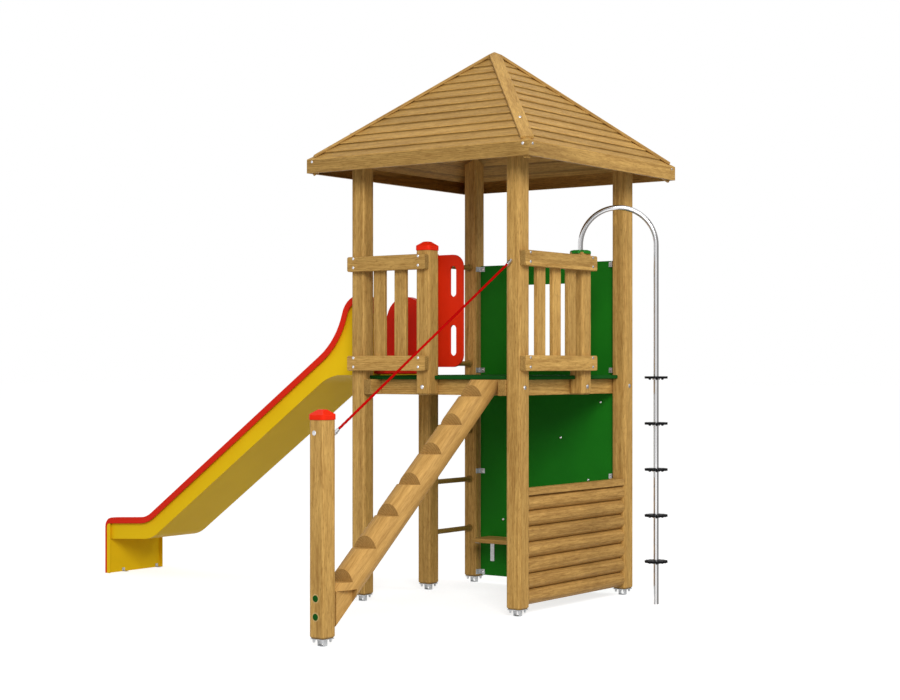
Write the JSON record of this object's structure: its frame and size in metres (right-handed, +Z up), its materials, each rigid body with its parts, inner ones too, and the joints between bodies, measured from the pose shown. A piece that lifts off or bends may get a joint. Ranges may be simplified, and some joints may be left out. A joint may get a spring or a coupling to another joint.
{
  "type": "wooden play tower",
  "caption": "Square timber play tower on steel feet with a boarded pyramid roof, guard rails, slide, rung ladder, climbing wall, pole and a stepped log with a rope handrail.",
  "frame": {"origin": "on the ground, under the middle of the whole footprint", "axes": "+Z up, +X from the slide towards the pole, -Y towards the foot of the stepped log"},
  "size_m": [4.347, 3.1432, 3.6647],
  "materials": {
    "post_wood": "planed, oiled softwood with an open grain",
    "board_wood": "planed boards, golden tan",
    "log_wood": "turned round logs, fine checks",
    "roof_wood": "lapped boards, golden tan",
    "rung_wood": "dark brown turned bars",
    "green_plastic": "fine-grained dark green sheet",
    "red_plastic": "moulded, satin",
    "slide_red": "moulded, satin gloss",
    "slide_yellow": "moulded, satin gloss",
    "zinc_steel": "hot-dip galvanised",
    "stainless_steel": "ground and polished tube",
    "black_plastic": "moulded, black",
    "red_rope": "laid rope with a steel core"
  },
  "bodies": {
    "root": {"post_front": "post_wood", "post_left": "post_wood", "post_right": "post_wood", "post_back": "post_wood", "slide_side_post": "post_wood", "entry_newel": "post_wood", "pole_newel": "post_wood", "log_post": "post_wood", "post_feet": "zinc_steel", "post_caps": "red_plastic", "side_beams": "board_wood", "cross_joists": "board_wood", "floor_panel": "green_plastic", "front_rails": "board_wood", "front_slats": "board_wood", "side_rails": "board_wood", "side_slats": "board_wood", "roof_eaves": "roof_wood", "roof_rafters": "roof_wood", "roof_front": "roof_wood", "roof_right": "roof_wood", "roof_back": "roof_wood", "roof_left": "roof_wood", "roof_hips": "roof_wood", "slide_liner": "slide_red", "slide_shell": "slide_yellow", "slide_feet": "zinc_steel", "climbing_wall": "green_plastic", "climbing_holds": "red_plastic", "wall_brackets": "zinc_steel", "bench_seat": "board_wood", "bench_brackets": "zinc_steel", "half_logs": "log_wood", "half_log_cap": "board_wood", "half_log_battens": "board_wood", "ladder_rungs": "rung_wood", "guard_bars": "rung_wood", "grab_panel": "red_plastic", "pole_tube": "stainless_steel", "pole_discs": "black_plastic", "pole_collar": "green_plastic", "stepped_log": "log_wood", "rope": "red_rope", "rope_fittings": "stainless_steel"}
  },
  "joints": []
}
